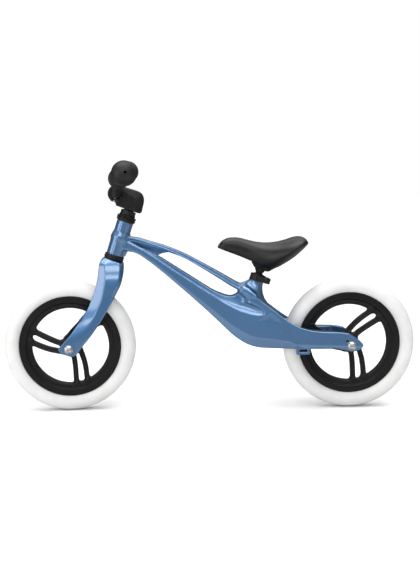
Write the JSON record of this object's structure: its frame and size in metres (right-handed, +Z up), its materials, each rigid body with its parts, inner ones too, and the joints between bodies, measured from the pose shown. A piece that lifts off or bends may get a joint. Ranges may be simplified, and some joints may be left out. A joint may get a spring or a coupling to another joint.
{
  "type": "balance bike",
  "caption": "Pedal-less child's bike with a cast frame and fork, foam-tyred spoked wheels, a riser bar with ball-ended grips and a saddle on a clamped post.",
  "frame": {"origin": "on the ground, midway between the two wheel centres", "axes": "+X to the rear of the bike, -Y to the rider's left, +Z up"},
  "size_m": [0.9058, 0.4353, 0.5529],
  "materials": {
    "frame_paint": "gloss metallic blue lacquer on cast metal",
    "black_metal": "satin black coating",
    "rim_plastic": "fine-grained black moulding",
    "tyre_foam": "matte off-white foam with a fine tread",
    "grip_rubber": "soft matte black",
    "saddle_cover": "satin black moulded cover",
    "steel": "bright zinc plate"
  },
  "bodies": {
    "frame": {"frame": "frame_paint", "headset_lower_cup": "black_metal", "headset_lower_ball_ring": "steel", "headset_upper_cup": "black_metal", "headset_upper_ball_ring": "steel", "rear_spacer_left": "steel", "rear_spacer_right": "steel", "rear_axle_bolt_left": "steel", "rear_axle_bolt_right": "steel", "rear_axle": "steel", "seat_clamp_collar": "black_metal", "seat_clamp_bolt": "black_metal", "seat_clamp_pin": "steel"},
    "rear_wheel": {"rear_tyre": "tyre_foam", "rear_rim": "rim_plastic", "rear_bearing_left": "steel", "rear_bearing_right": "steel"},
    "seat_clamp_lever": {"seat_clamp_lever": "black_metal"},
    "seat_post": {"seat_post": "black_metal"},
    "saddle": {"saddle_base": "rim_plastic", "saddle_bolt": "black_metal", "saddle_pad": "saddle_cover"},
    "fork": {"fork": "frame_paint", "steerer_tube": "black_metal", "fork_crown_race": "black_metal", "headset_adjusting_nut": "black_metal", "headset_lock_washer": "black_metal", "headset_lock_nut": "black_metal", "front_spacer_left": "steel", "front_spacer_right": "steel", "front_axle_bolt_left": "steel", "front_axle_bolt_right": "steel", "front_axle": "steel"},
    "front_wheel": {"front_tyre": "tyre_foam", "front_rim": "rim_plastic", "front_bearing_left": "steel", "front_bearing_right": "steel"},
    "stem": {"stem": "black_metal", "stem_clamp_bolt_1": "steel", "stem_clamp_bolt_2": "steel", "stem_quill_post": "black_metal", "stem_expander_wedge": "steel", "stem_expander_bolt": "steel"},
    "handlebar": {"handlebar": "black_metal", "grip_left": "grip_rubber", "grip_right": "grip_rubber"}
  },
  "joints": [
    {"name": "steering", "type": "hinge", "parent": "frame", "child": "fork", "pos_m": [-0.192, 0, 0.382], "axis": [0.3256, 0, 0.9455], "range_deg": [-44.5, 35.5]},
    {"name": "front_wheel_spin", "type": "hinge", "parent": "fork", "child": "front_wheel", "pos_m": [-0.3079, -0.00255, 0.14497], "axis": [-0.0742, 0.9969, 0.0255], "continuous": true},
    {"name": "rear_wheel_spin", "type": "hinge", "parent": "frame", "child": "rear_wheel", "pos_m": [0.308, 0, 0.145], "axis": [0, 1, 0], "continuous": true},
    {"name": "stem_height", "type": "slide", "parent": "fork", "child": "stem", "axis": [0.3256, 0, 0.9455], "range_m": [0, 0.04]},
    {"name": "handlebar_tilt", "type": "hinge", "parent": "stem", "child": "handlebar", "pos_m": [-0.1963, -0.00279, 0.47846], "axis": [-0.0742, 0.9969, 0.0255], "range_deg": [-15, 15]},
    {"name": "seat_height", "type": "slide", "parent": "frame", "child": "seat_post", "axis": [0.2924, 0, 0.9563], "range_m": [0, 0.07]},
    {"name": "saddle_tilt", "type": "hinge", "parent": "seat_post", "child": "saddle", "pos_m": [0.1135, 0, 0.309], "axis": [0, 1, 0], "range_deg": [-8, 8]},
    {"name": "seat_clamp_lever_swing", "type": "hinge", "parent": "frame", "child": "seat_clamp_lever", "pos_m": [0.12738, -0.021, 0.28452], "axis": [0.2924, 0, 0.9563], "range_deg": [0, 150]}
  ]
}
